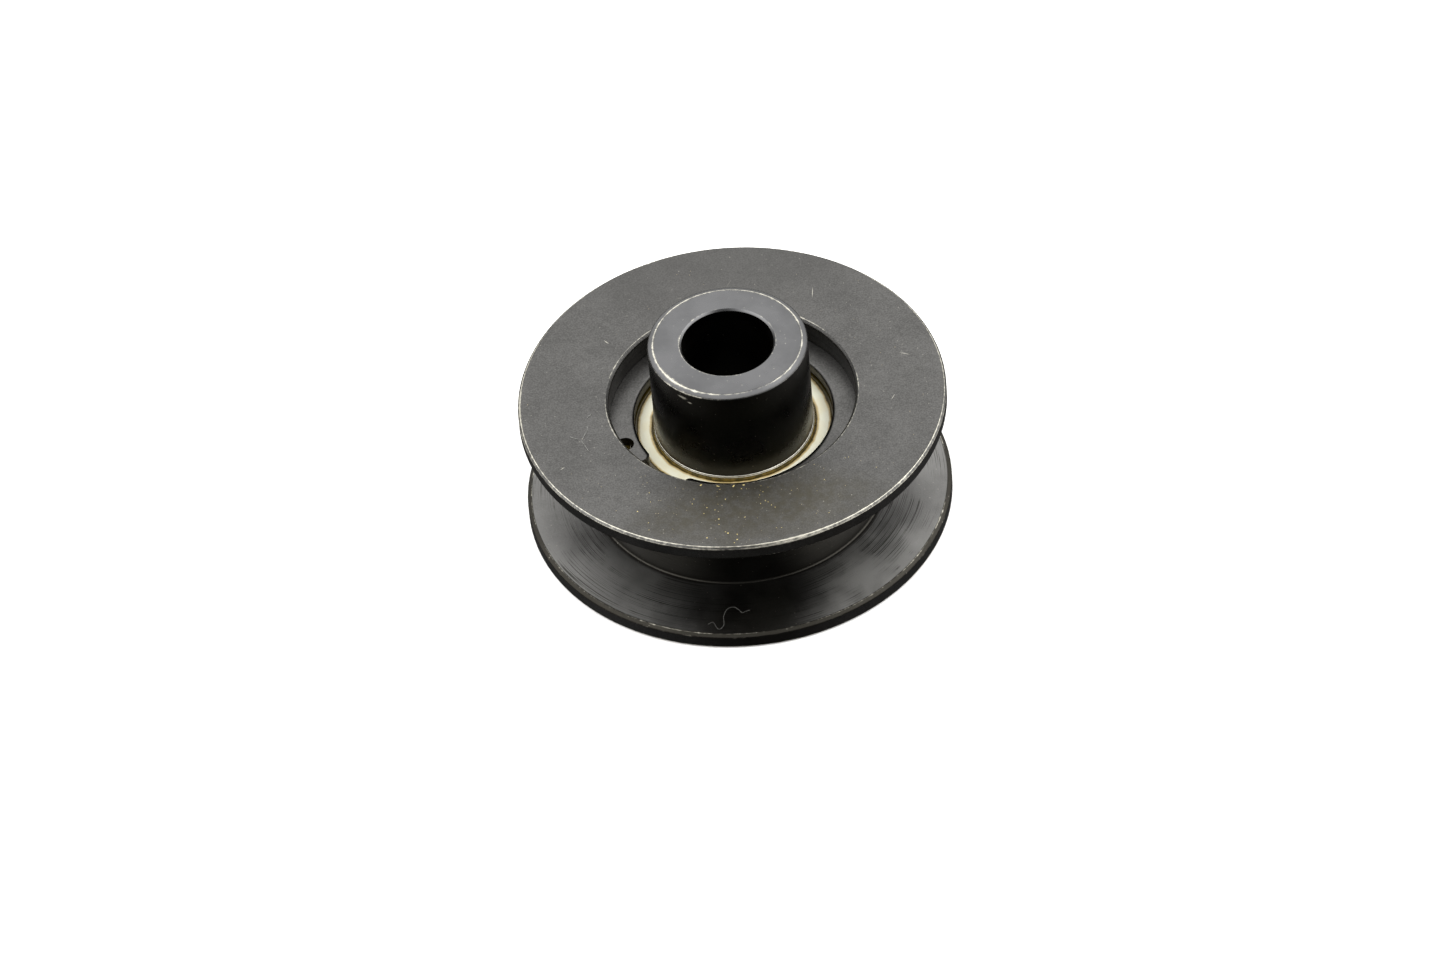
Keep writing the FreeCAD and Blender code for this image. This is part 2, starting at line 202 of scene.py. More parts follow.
# %% Small helpers for nodes
def sum_method(operation, swapped=False):
    """A method that works out one sum of a value and another value or number."""
    if swapped:
        return lambda value, other: calc(operation, other, value)
    return lambda value, other: calc(operation, value, other)


class Value:
    """A node's output, for use in sums."""

    def __init__(self, socket):
        self.socket = socket
        self.tree = socket.id_data

    __add__ = sum_method("ADD")
    __sub__ = sum_method("SUBTRACT")
    __rsub__ = sum_method("SUBTRACT", swapped=True)
    __mul__ = sum_method("MULTIPLY")
    __rtruediv__ = sum_method("DIVIDE", swapped=True)
    __lt__ = sum_method("LESS_THAN")
    __or__ = sum_method("MAXIMUM")

    def __abs__(self):
        return calc("ABSOLUTE", self)

    def remap(self, low, high, to_low=0.0, to_high=1.0, smooth=True):
        """The value brought from one range to another."""
        ranges = {"Value": self, "From Min": low, "From Max": high, "To Min": to_low,
                  "To Max": to_high}
        return effect("ShaderNodeMapRange", ranges, "Result",
                      interpolation_type="SMOOTHSTEP" if smooth else "LINEAR")

    def rises(self, low, high):
        """A mask that grows from 0 to 1 between two places in millimetres."""
        return self.remap(low * MM, high * MM)

    def falls(self, low, high):
        """A mask that drops from 1 to 0 between two places in millimetres."""
        return self.remap(low * MM, high * MM, 1.0, 0.0)


def put(value, socket):
    """Link a value, or write a plain number, colour or name, into a socket."""
    if isinstance(value, Value):
        value.tree.links.new(value.socket, socket)
    else:
        socket.default_value = value


def add_node(tree, kind, inputs=None, **settings):
    """A new node with its settings, and its inputs linked or written."""
    node = tree.nodes.new(kind)
    for name, setting in settings.items():
        setattr(node, name, setting)
    for name, value in (inputs or {}).items():
        put(value, node.inputs[name])
    return node


def tree_of(inputs):
    """The tree that the values among some inputs come from."""
    return next(value.tree for value in inputs.values() if isinstance(value, Value))


def effect(kind, inputs, output=0, **settings):
    """One output of a new node."""
    return Value(add_node(tree_of(inputs), kind, inputs, **settings).outputs[output])


def calc(operation, *values):
    """The result of a Math node."""
    return effect("ShaderNodeMath", dict(enumerate(values)), operation=operation)


def vector_calc(operation, *vectors, output=0):
    """The result of a Vector Math node."""
    return effect("ShaderNodeVectorMath", dict(enumerate(vectors)), output,
                  operation=operation)


def split(vector):
    """The X, Y and Z of a vector."""
    node = add_node(vector.tree, "ShaderNodeSeparateXYZ", {"Vector": vector})
    return [Value(output) for output in node.outputs]


def join(x, y, z=0.0):
    """A vector from its X, Y and Z."""
    return effect("ShaderNodeCombineXYZ", {"X": x, "Y": y, "Z": z})


def new_group(kind, name, inputs, outputs):
    """A node group, its inputs as values and its output sockets.  inputs and outputs
    give each socket's name with its number, or with its kind if it has none."""
    group = bpy.data.node_groups.new(name, kind)
    for in_out, sockets in (("INPUT", inputs), ("OUTPUT", outputs)):
        for label, start in sockets.items():
            typed = {int: "Int", float: "Float"}.get(type(start), start)
            socket = group.interface.new_socket(label, in_out=in_out,
                                                socket_type="NodeSocket" + typed)
            if typed != start:
                socket.default_value = start
    given = add_node(group, "NodeGroupInput").outputs
    result = add_node(group, "NodeGroupOutput").inputs
    return group, {label: Value(given[label]) for label in inputs}, result


# %% [markdown]
# ## A lathe made of nodes
#
# Two curves make a lathe: the section, and a small circle that carries it round the
# axis.  Curve to Mesh keeps the section's attributes, so `wear` arrives on the
# surface by itself.  The circle is 1 mm in radius and the section is moved in by as
# much, so every radius comes out as drawn.

# %% Build the lathe tree
def new_geometry_tree(name, inputs):
    """A Geometry Nodes tree that takes a shape, a material and other inputs."""
    return new_group("GeometryNodeTree", name,
                     {"Geometry": "Geometry", **inputs, "Material": "Material"},
                     {"Geometry": "Geometry"})


def finish_tree(given, result, geometry):
    """End a tree in Realize Instances and Set Material."""
    real = effect("GeometryNodeRealizeInstances", {"Geometry": geometry})
    painted = effect("GeometryNodeSetMaterial", {
        "Geometry": real, "Material": given["Material"]})
    put(painted, result["Geometry"])


def make_lathe_tree():
    tree, given, result = new_geometry_tree("lathe", {"Segments": 256, "Carrier radius": MM})
    x, _, z = split(Value(add_node(tree, "GeometryNodeInputPosition").outputs[0]))
    moved = effect("GeometryNodeSetPosition", {
        "Geometry": given["Geometry"],
        "Position": join(x - given["Carrier radius"], z * -1.0)})
    section = effect("GeometryNodeMeshToCurve", {"Mesh": moved})
    circle = effect("GeometryNodeCurvePrimitiveCircle", {
        "Resolution": given["Segments"], "Radius": given["Carrier radius"]})
    swept = effect("GeometryNodeCurveToMesh", {"Curve": circle, "Profile Curve": section})
    finish_tree(given, result, effect("GeometryNodeSetShadeSmooth", {"Geometry": swept}))
    return tree


lathe_tree = make_lathe_tree()
print("lathe tree has", len(lathe_tree.nodes), "nodes")

# %% Run a tree on an object and keep the plain mesh
def new_object(name, data):
    """An object at the origin that holds a mesh, a curve or a camera."""
    item = bpy.data.objects.new(name, data)
    scene.collection.objects.link(item)
    return item


def evaluated_mesh(item):
    """An object's mesh once its modifiers have run."""
    graph = bpy.context.evaluated_depsgraph_get()
    return bpy.data.meshes.new_from_object(
        item.evaluated_get(graph), preserve_all_data_layers=True, depsgraph=graph)


def run_tree(item, tree, values):
    """Give an object a tree, set its inputs by identifier, and keep the result as a
    plain mesh with no modifier."""
    modifier = item.modifiers.new(tree.name, "NODES")
    modifier.node_group = tree
    for socket in tree.interface.items_tree:
        if socket.item_type == "SOCKET" and socket.in_out == "INPUT" and socket.name in values:
            modifier[socket.identifier] = values[socket.name]
    drawn = item.data
    item.data = evaluated_mesh(item)
    item.modifiers.clear()
    bpy.data.meshes.remove(drawn)
    item.data.name = item.name
    return item


def give_material(mesh, material):
    """Leave a mesh with one material."""
    mesh.materials.clear()
    mesh.materials.append(material)


def add_wear(mesh, values):
    """The wear of each point of a mesh, for the finish to read."""
    mesh.attributes.new("wear", "FLOAT", "POINT").data.foreach_set("value", values)


def point_outwards(mesh):
    """Turn the mesh's faces so that it holds a positive volume."""
    shape = bmesh.new()
    shape.from_mesh(mesh)
    if shape.calc_volume(signed=True) < 0:
        bmesh.ops.reverse_faces(shape, faces=shape.faces)
    volume = shape.calc_volume(signed=True)
    shape.to_mesh(mesh)
    shape.free()
    return volume


def turned_piece(name, outline, material, segments=256):
    """A piece turned from an outline of (radius, height, wear)."""
    mesh = bpy.data.meshes.new(name)
    points = [(radius * MM, 0.0, height * MM) for radius, height, _ in outline]
    count = len(points)
    mesh.from_pydata(points, [(i, (i + 1) % count) for i in range(count)], [])
    add_wear(mesh, [wear for _, _, wear in outline])
    item = run_tree(new_object(name, mesh), lathe_tree,
                    {"Segments": segments, "Material": material})
    volume = point_outwards(item.data)
    print(f"{name}: {len(item.data.polygons)} faces, {volume / MM ** 3:.0f} mm3")
    return item


# %% [markdown]
# ## Shared effects for the finishes
#
# Several finishes on this part wear, mottle and show tool marks in the same way.
# Each effect is a shader node group with named inputs, built once.  A group puts out
# only masks and values, and the shader itself stays in each material.

# %% Small helpers for finishes
def new_effect(name, inputs, outputs):
    """A shader node group that works out one or more values from a place."""
    return new_group("ShaderNodeTree", name, {"Place": "Vector", **inputs},
                     {label: "Float" for label in outputs})


def use_group(group, values):
    """A group's outputs, with its inputs linked or written."""
    node = add_node(tree_of(values), "ShaderNodeGroup", values, node_tree=group)
    return {output.name: Value(output) for output in node.outputs}


def noise(place, scale, detail=4.0, roughness=0.6):
    """A noise texture's value."""
    return effect("ShaderNodeTexNoise", {"Vector": place, "Scale": scale, "Detail": detail,
                                         "Roughness": roughness}, "Fac")


def mix_colour(factor, first, second):
    """Two colours mixed by a factor.  A Mix node keeps its two colours at inputs 6 and
    7, and their mixture at output 2."""
    return effect("ShaderNodeMix", {0: factor, 6: first, 7: second}, 2, data_type="RGBA")


def radius_and_height(place):
    """Distance from the bore's axis, and height, of a place on the piece."""
    x, y, z = split(place)
    return calc("SQRT", x * x + y * y), z


def turn_about_z(vector, angle):
    return effect("ShaderNodeVectorRotate", {"Vector": vector, "Angle": angle},
                  rotation_type="Z_AXIS")


# %% [markdown]
# ### Edge wear
#
# Black oxide is a skin a few thousandths of a millimetre thick.  It rubs off where
# hands, belts and benches touch it: first at the corners, and never evenly.  So the
# worn mask is the outline's `wear` number, broken up by two sizes of noise.

# %% Edge wear group
def make_edge_wear():
    group, given, result = new_effect(
        "edge wear", {"Wear": 0.0, "Amount": 0.6, "Patch scale": 1500.0}, ["Worn"])
    patches = noise(given["Place"], given["Patch scale"], detail=3.0)
    wide = noise(given["Place"], 90.0, detail=2.0)
    level = given["Wear"] * given["Amount"] + patches * 1.1 + wide * 1.5 - 1.7
    put(level.remap(0.0, 0.7), result["Worn"])
    return group


edge_wear = make_edge_wear()

# %% [markdown]
# ### Lathe marks
#
# A turning tool leaves a fine spiral that looks like rings.  Noise sampled on radius
# and height alone makes perfect rings, and a touch of the real position lets each
# ring fade in and out as it goes round.

# %% Lathe marks group
def make_lathe_marks():
    group, given, result = new_effect(
        "lathe marks", {"Rings per metre": 9000.0, "Fade": 60.0}, ["Height"])
    x, y, _ = split(given["Place"])
    radius, height = radius_and_height(given["Place"])
    rings, fade = given["Rings per metre"], given["Fade"]
    spot = join(radius * rings + x * fade, height * rings + y * fade)
    put(noise(spot, 1.0, detail=3.0), result["Height"])
    return group


lathe_marks = make_lathe_marks()

# %% [markdown]
# ### Mottle and grain
#
# The oxide bath leaves soft clouds a few millimetres across, and the oil in it holds
# a fine grain.  One group makes both, so they can be set apart for each finish.

# %% Mottle group
def make_mottle():
    group, given, result = new_effect(
        "mottle", {"Cloud scale": 130.0, "Grain scale": 5000.0}, ["Clouds", "Grain"])
    clouds = noise(given["Place"], given["Cloud scale"], detail=5.0, roughness=0.55)
    put(clouds.remap(0.3, 0.7), result["Clouds"])
    put(noise(given["Place"], given["Grain scale"], detail=2.0, roughness=0.7),
        result["Grain"])
    return group


mottle = make_mottle()

# %% [markdown]
# ### Chips and scratches
#
# Small bright chips show where a grain of swarf pressed through the oxide.  They are
# the centres of Voronoi cells, each with its own strength.  A scratch is the same
# thing stretched: the pattern is squeezed along one direction, so every round chip
# becomes a short line.

# %% Chips group and scratches group
def make_chips():
    group, given, result = new_effect(
        "chips", {"Scale": 900.0, "Size": 0.12, "Share": 0.35}, ["Mask"])
    cells = add_node(group, "ShaderNodeTexVoronoi", {
        "Vector": given["Place"], "Scale": given["Scale"]}, feature="F1").outputs
    draws = add_node(group, "ShaderNodeSeparateColor", {"Color": Value(cells["Color"])}).outputs
    soft = Value(cells["Distance"]).remap(given["Size"] * 0.5, given["Size"], 1.0, 0.0)
    chosen = Value(draws[0]) < given["Share"]
    put(soft * chosen * Value(draws[1]), result["Mask"])
    return group


def make_scratches():
    group, given, result = new_effect(
        "scratches", {"Turn": 0.6, "Squeeze": 0.06, "Share": 0.2}, ["Mask"])
    turned = turn_about_z(given["Place"], given["Turn"])
    squeezed = vector_calc("MULTIPLY", turned, join(1.0, given["Squeeze"], 1.0))
    lines = use_group(chips, {"Place": squeezed, "Scale": 1100.0, "Size": 0.07,
                              "Share": given["Share"]})
    put(lines["Mask"], result["Mask"])
    return group


chips = make_chips()
scratches = make_scratches()

# %% [markdown]
# ### Stains and single marks
#
# Some marks are in one known place: a brown bloom where oil has dried, or one nick
# from a knock.  A soft ball round a centre gives a mask, its edge is torn by noise,
# and squeezing the ball along one direction turns a bloom into a nick.

# %% Mark group
def make_mark():
    group, given, result = new_effect(
        "mark", {"Centre": "Vector", "Turn": 0.0, "Length": 0.001, "Width": 0.0002,
                 "Torn": 0.5}, ["Mask"])
    away = vector_calc("SUBTRACT", given["Place"], given["Centre"])
    turned = turn_about_z(away, given["Turn"] * -1.0)
    shares = vector_calc("DIVIDE", turned,
                         join(given["Length"], given["Width"], given["Width"]))
    reach = vector_calc("LENGTH", shares, output="Value")
    torn = (noise(shares, 2.2) - 0.5) * given["Torn"] + reach
    put(torn.remap(0.15, 0.62, 1.0, 0.0), result["Mask"])
    return group


mark = make_mark()


def known_mark(place, x, y, z, turn, length, width, torn=0.5):
    """One mark of known place, in millimetres and degrees."""
    return use_group(mark, {
        "Place": place, "Centre": (x * MM, y * MM, z * MM), "Turn": math.radians(turn),
        "Length": length * MM, "Width": width * MM, "Torn": torn})["Mask"]


# %% Start a material
def start_material(name):
    """A material, its shader's inputs, its place on the piece and its wear."""
    material = bpy.data.materials.new(name)
    material.use_nodes = True
    tree = material.node_tree
    shader = next(node for node in tree.nodes if node.type == "BSDF_PRINCIPLED")
    place = add_node(tree, "ShaderNodeTexCoord").outputs["Object"]
    wear = add_node(tree, "ShaderNodeAttribute", attribute_name="wear").outputs["Fac"]
    return material, shader.inputs, Value(place), Value(wear)


def set_shader(shader, colour, metallic, rough):
    """The three values that every finish sets."""
    put(colour, shader["Base Color"])
    put(metallic, shader["Metallic"])
    put(rough, shader["Roughness"])


def add_bump(shader, height, distance):
    """Fine relief from a height value, in metres."""
    put(effect("ShaderNodeBump", {"Height": height, "Strength": 1.0, "Distance": distance},
               "Normal"), shader["Normal"])


# %% [markdown]
# ## Black oxide
#
# Black oxide is neither paint nor bare metal.  It is a thin dark skin that reflects
# like a very dark metal: grey where it mirrors the sky, and black where it mirrors
# nothing.  Oil makes it darker, and it is bright only where it is rubbed through.  So
# the finish is kept as layers that each piece can add to: the colour of the skin, how
# bare the steel is, how cloudy the surface is, and its fine relief.

# %% Layers of an oxide finish
BARE_STEEL = (0.58, 0.56, 0.48, 1.0)
OXIDE_DARK = (0.060, 0.0595, 0.058, 1.0)
OXIDE_PALE = (0.097, 0.096, 0.094, 1.0)
NOSE_DARK = (0.088, 0.089, 0.092, 1.0)
NOSE_PALE = (0.114, 0.115, 0.119, 1.0)
BROWN_OIL = (0.054, 0.050, 0.038, 1.0)
RUBBED_GREY = (0.165, 0.164, 0.161, 1.0)
# Pale grey of the painted highlights on the flanks.
PAINTED_HIGHLIGHT_GREY = (0.38, 0.377, 0.367, 1.0)
# Near black, for old oil and the belt's dark rings, and for painted shade in the recess, in the
# groove and on the hub's side.
OIL_AND_SHADE_DARK = (0.018, 0.0165, 0.0130, 1.0)


def oxide_layers(place, wear, wear_amount=0.8, rings=7000.0):
    """The skin's colour, the worn and flecked masks, the relief, clouds and marks."""
    coarse = use_group(mottle, {"Place": place, "Cloud scale": 160.0, "Grain scale": 4200.0})
    fine = use_group(mottle, {"Place": place, "Cloud scale": 900.0, "Grain scale": 9000.0})
    marks = use_group(lathe_marks, {"Place": place, "Rings per metre": rings})["Height"]
    worn = use_group(edge_wear, {"Place": place, "Wear": wear, "Amount": wear_amount})["Worn"]
    tone = (coarse["Clouds"] * 0.35 + fine["Clouds"] * 0.25
            + coarse["Grain"].remap(0.3, 0.7, -0.4, 0.8, smooth=False))
    flecks = use_group(chips, {"Place": place, "Scale": 1500.0, "Size": 0.17, "Share": 0.3})
    return {"skin": mix_colour(tone, OXIDE_DARK, OXIDE_PALE), "worn": worn,
            "flecks": flecks["Mask"], "relief": marks * 0.25 + coarse["Grain"],
            "clouds": coarse["Clouds"], "marks": marks}


def finish_oxide(shader, skin, bare, clouds, relief, rough, depth=0.016):
    """Bring the layers together in the shader."""
    set_shader(shader, mix_colour(bare, skin, BARE_STEEL), bare.remap(0.0, 1.0, 1.0, 0.5),
               bare * -0.1 + clouds.remap(0.0, 1.0, rough + 0.04, rough - 0.04))
    add_bump(shader, relief, depth * MM)


# %% [markdown]
# ## The roller's finish
#
# On top of the oxide the roller has its own history.  A brown bloom has dried in front
# of the recess, the belt has rubbed the flanks grey and drawn dark rings on them, and a
# few scratches cross the face.  The recess, the back of the face, the front of the lower
# flank, the groove's root and the bevels at its mouth are darkened with painted shade,
# and two paler patches on the flanks are painted highlights.

# %% Roller finish
FACE_SCRATCHES = [
    # centre x, y and z, turn in degrees, length, width
    (12.8, 19.2, ROLLER_FACE, 84.0, 2.2, 0.10),
    (-17.1, 12.8, ROLLER_FACE, -52.0, 1.0, 0.16),
    (24.9, 5.1, ROLLER_FACE, -24.0, 1.6, 0.10),
    (22.6, -3.4, ROLLER_FACE, 62.0, 1.2, 0.09),
    (-24.6, -11.8, ROLLER_FACE, 35.0, 0.9, 0.10),
]


def flank_masks(place, radius, height):
    """The groove, its painted highlights, and the painted shade on the front of the lower flank,
    in the root and on the bevels at the groove's mouth.
    """
    flank_edge = ROLLER_RADIUS - FLANK_BREAK
    in_groove = (radius.falls(flank_edge - 0.15, flank_edge - 0.05)
                 * (abs(height) < (GROOVE_MOUTH + 0.05) * MM))
    # Painted highlights: paler patches on the front-right and front-left of the lower flank.
    painted_highlight = (known_mark(place, 16.5, -24.0, -7.5, 48.0, 32.0, 17.0, torn=0.3)
                | known_mark(place, -19.0, -21.0, -7.5, -44.0, 30.0, 16.0, torn=0.3) * 0.45)
    # Painted shade on the bevels at the groove's mouth and in the groove's root.
    painted_bevel_shade = (1.0 - in_groove) * abs(height).falls(GROOVE_MOUTH + 0.3, GROOVE_MOUTH + 0.4)
    painted_root_shade = in_groove * radius.falls(ROOT_RADIUS + 0.2, ROOT_RADIUS + 0.9)
    # Painted shade on the front of the lower flank, under the upper rim.
    painted_shade = known_mark(place, 0.5, -26.0, -7.2, 0.0, 23.0, 22.0, torn=0.3)
    return in_groove, painted_highlight, painted_shade | painted_root_shade | painted_bevel_shade


def make_roller_finish():
    material, shader, place, wear = start_material("roller_oxide_finish")
    layers = oxide_layers(place, wear, wear_amount=0.9)
    radius, height = radius_and_height(place)
    # Painted shade: everything inside the seat's radius is darkened to near black.
    painted_recess_shade = radius.falls(SEAT_RADIUS - 0.1, SEAT_RADIUS + 0.25)
    skin = mix_colour(painted_recess_shade, layers["skin"], OIL_AND_SHADE_DARK)
    bloom = (known_mark(place, 1.5, -22.5, ROLLER_FACE, 0.0, 36.0, 17.0, torn=0.6)
             * noise(place, 700.0).remap(0.3, 0.65, 0.35, 0.85))
    skin = mix_colour(bloom, skin, BROWN_OIL)
    # Painted shade: the back of the upper face is darkened towards the darkest oxide.
    painted_back_shade = known_mark(place, 0.0, 27.0, ROLLER_FACE, 0.0, 60.0, 26.0, torn=0.4)
    skin = mix_colour(painted_back_shade * 0.45, skin, OXIDE_DARK)
    in_groove, painted_highlight, painted_shade = flank_masks(place, radius, height)
    burnish = noise(place, 60.0).remap(0.3, 0.7, 0.4, 1.0)
    skin = mix_colour(in_groove * burnish, skin, RUBBED_GREY)
    # Painted highlights on the flanks.
    skin = mix_colour(in_groove * painted_highlight, skin, PAINTED_HIGHLIGHT_GREY)
    # Painted shade, nearly black, on the front of the lower flank, in the root and on the
    # bevels.
    skin = mix_colour(painted_shade * 0.9, skin, OIL_AND_SHADE_DARK)
    rubbed = noise(place, 110.0).remap(0.42, 0.6)
    dark_rings = layers["marks"].remap(0.52, 0.60) * rubbed * in_groove
    skin = mix_colour(dark_rings * 0.75, skin, OIL_AND_SHADE_DARK)
    bare = layers["worn"] * 0.85 | layers["flecks"] * (bloom * 0.2 + 0.22)
    for turn, share in ((0.5, 0.10), (2.1, 0.07), (1.2, 0.05)):
        crossed = use_group(scratches, {"Place": place, "Turn": turn, "Share": share})
        bare = bare | crossed["Mask"] * 0.25
    for scratch in FACE_SCRATCHES:
        bare = bare | known_mark(place, *scratch) * 0.5
    finish_oxide(shader, skin, bare, dark_rings * 0.5 + layers["clouds"], layers["relief"], 0.40)
    return material


def make_hub_finish():
    material, shader, place, wear = start_material("hub_oxide_finish")
    layers = oxide_layers(place, wear, rings=14000.0)
    _, height = radius_and_height(place)
    on_nose = height.rises(HUB_NOSE - 0.5, HUB_NOSE - 0.1)
    # Painted shade: the side below the nose is mixed most of the way to near black, far darker
    # than the nose.
    skin = mix_colour(on_nose, mix_colour(0.88, layers["skin"], OIL_AND_SHADE_DARK),
                      mix_colour(layers["clouds"], NOSE_DARK, NOSE_PALE))
    nicks = (known_mark(place, -6.95, -8.91, HUB_NOSE - 1.35, -38.0, 1.6, 0.55, torn=1.1)
             | known_mark(place, -6.0, -9.58, HUB_NOSE - 1.9, -32.0, 0.8, 0.3, torn=0.9))
    bare = layers["worn"] * 0.85 | layers["flecks"] * 0.32 | nicks * 0.75
    finish_oxide(shader, skin, bare, layers["clouds"], layers["relief"], 0.30, depth=0.006)
    return material


def make_ring_finish():
    """Phosphated spring steel: duller and greyer than oxide, worn on its rolled edge."""
    material, shader, place, wear = start_material("ring_phosphate_finish")
    layers = oxide_layers(place, wear, rings=1800.0)
    bare = layers["worn"] * 0.12 | layers["flecks"] * 0.10
    finish_oxide(shader, layers["skin"], bare, layers["clouds"], layers["relief"], 0.36)
    return material


roller_oxide = make_roller_finish()
hub_oxide = make_hub_finish()
ring_oxide = make_ring_finish()
print("oxide finishes:", roller_oxide.name, hub_oxide.name, ring_oxide.name)

# %% [markdown]
# ## Bearing metals
#
# The shield is thin sheet steel with a pale zinc finish that has yellowed.  Oil has
# crept along both of its edges and dried to olive and brown, and the dark olive there is
# also painted shade, in the gap by the hub and under the retaining ring.  The bearing's
# rings show bare steel only where that film is broken.  The balls and the cage are clean.

# %% Shield, race and cage finishes
ZINC = (0.75, 0.75, 0.62, 1.0)
ZINC_WARM = (0.68, 0.60, 0.36, 1.0)
# Dark olive of old oil, also used as painted shade along the shield's edges.
OLIVE_OIL_AND_SHADE = (0.055, 0.040, 0.007, 1.0)
OIL_THIN = (0.16, 0.105, 0.020, 1.0)
OIL_BROWN = (0.42, 0.29, 0.085, 1.0)
GROUND_STEEL = (0.80, 0.78, 0.70, 1.0)
BALL_STEEL = (0.62, 0.61, 0.58, 1.0)
CAGE_STEEL = (0.50, 0.49, 0.46, 1.0)


def shaded(colour, share):
    """A darker version of a colour."""
    return tuple(share * value for value in colour[:3]) + (1.0,)


def zinc_shield():
    material, shader, place, _ = start_material("shield_zinc_finish")
    radius, _ = radius_and_height(place)
    radius = (noise(place, 500.0, detail=3.0) - 0.5) * (0.5 * MM) + radius
    # Dark olive along both edges: dried oil, and painted shade in the gap by the hub and under
    # the retaining ring.
    oil_and_shade = (radius.falls(SHIELD_HOLE + 0.12, SHIELD_HOLE + 0.32)
            | radius.rises(SHIELD_BAND_END - 0.15, SHIELD_BAND_END + 0.05))
    fringe = (radius.falls(SHIELD_HOLE + 0.30, SHIELD_HOLE + 0.62)
              | radius.rises(SHIELD_BAND_END - 0.42, SHIELD_BAND_END - 0.1))
    clouds = use_group(mottle, {"Place": place, "Cloud scale": 400.0})
    sheet = mix_colour(clouds["Clouds"] * 0.4, ZINC, ZINC_WARM)
    stained = mix_colour(fringe * 0.85, sheet, OIL_BROWN)
    set_shader(shader, mix_colour(oil_and_shade, stained, OLIVE_OIL_AND_SHADE), oil_and_shade.remap(0.0, 1.0, 0.08, 0.0),
               oil_and_shade.remap(0.0, 1.0, 0.42, 0.20))
    put(1.38, shader["IOR"])
    add_bump(shader, clouds["Grain"], 0.004 * MM)
    return material


def dried_oil():
    """A dark film of old oil, glossy enough to glint."""
    material, shader, place, _ = start_material("dried_oil")
    thick = noise(place, 900.0, detail=2.0)
    set_shader(shader, mix_colour(thick.remap(0.35, 0.65), OLIVE_OIL_AND_SHADE, OIL_THIN), 0.0,
               thick.remap(0.3, 0.7, 0.10, 0.25))
    add_bump(shader, thick, 0.03 * MM)
    return material


def plain_steel(name, colour, rough):
    material, shader, place, _ = start_material(name)
    clouds = use_group(mottle, {"Place": place, "Cloud scale": 300.0})["Clouds"]
    marks = use_group(lathe_marks, {"Place": place, "Rings per metre": 12000.0})["Height"]
    set_shader(shader, mix_colour(clouds, colour, shaded(colour, 0.7)), 1.0,
               marks.remap(0.3, 0.7, rough - 0.06, rough + 0.06))
    add_bump(shader, marks, 0.002 * MM)
    return material


def oily_steel():
    """Ground steel that shows only through a film of old oil."""
    material, shader, place, wear = start_material("bearing_steel_finish")
    worn = use_group(edge_wear, {"Place": place, "Wear": wear, "Amount": 1.7,
                                 "Patch scale": 1600.0})["Worn"]
    film = noise(place, 500.0).remap(0.15, 0.35) - worn | 0.0
    set_shader(shader, mix_colour(film, GROUND_STEEL, OLIVE_OIL_AND_SHADE),
               film.remap(0.0, 1.0, 0.5, 0.0), film.remap(0.0, 1.0, 0.28, 0.15))
    return material


shield_finish = zinc_shield()
race_finish = oily_steel()
oil_finish = dried_oil()
ball_finish = plain_steel("ball_steel", BALL_STEEL, 0.12)
cage_finish = plain_steel("cage_steel_finish", CAGE_STEEL, 0.32)
print("bearing finishes:", shield_finish.name, race_finish.name, oil_finish.name)

# %% [markdown]
# ## The roller
#
# The roller is turned in one piece: two rims, a groove whose flanks open seven
# degrees, and the bearing's seat.  The corners that hands and belts reach are given
# more wear than those inside the seat.

# %% Turn the roller
RIM_BREAK = 0.3
SEAT_BREAK = 0.4
SEAT_FIT = 0.01
LIP_BREAK = 0.4
RING_GROOVE_RADIUS = SEAT_RADIUS + 1.0
RING_GROOVE_TOP = BEARING_FACE + 1.6


def roller_section():
    """The roller's section, from its upper rim down and round to its seat."""
    outside = [
        (ROLLER_RADIUS - RIM_BREAK, ROLLER_FACE, 0.10, 1.0),
        (ROLLER_RADIUS, ROLLER_FACE - RIM_BREAK, 0.12, 1.0),
        (ROLLER_RADIUS, GROOVE_MOUTH + 0.4 * FLANK_BREAK, 0.1, 0.3),
        (ROLLER_RADIUS - FLANK_BREAK, GROOVE_MOUTH - FLANK_BREAK * FLANK_SLOPE, 0.1, 0.55),
        (ROOT_RADIUS, ROOT_HALF_WIDTH, 0.25, 0.0),
    ]
    lower_inside = [
        (LIP_RADIUS + LIP_BREAK, -ROLLER_FACE, 0.1, 0.7),
        (LIP_RADIUS, -ROLLER_FACE + LIP_BREAK, 0.1, 0.5),
        (LIP_RADIUS, -BEARING_FACE, 0.05, 0.0),
        (SEAT_RADIUS + SEAT_FIT, -BEARING_FACE, 0.03, 0.0),
    ]
    upper_inside = [
        (SEAT_RADIUS + SEAT_FIT, BEARING_FACE, 0.03, 0.0),
        (RING_GROOVE_RADIUS, BEARING_FACE, 0.05, 0.0),
        (RING_GROOVE_RADIUS, RING_GROOVE_TOP, 0.05, 0.0),
        (SEAT_RADIUS, RING_GROOVE_TOP, 0.05, 0.2),
        (SEAT_RADIUS, ROLLER_FACE - SEAT_BREAK, 0.30, 0.25),
        (SEAT_RADIUS + SEAT_BREAK, ROLLER_FACE, 0.14, 0.65),
    ]
    return rounded_outline(outside + mirrored(outside) + lower_inside + upper_inside,
                           fade=0.3)


roller = turned_piece("roller", roller_section(), roller_oxide, segments=320)
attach(roller, "roller")
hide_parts("roller_body")

# %% [markdown]
# ## The hub bush
#
# The hub is the piece that stays still.  A bolt goes through its bore, its head
# stands above the bearing, and its spigot fills the bearing's inner ring.

# %% Turn the hub
NOSE_BEVEL = 0.8
NOSE_DROP = 0.3
BORE_BREAK = 0.3
SPIGOT_LEAD = 0.5


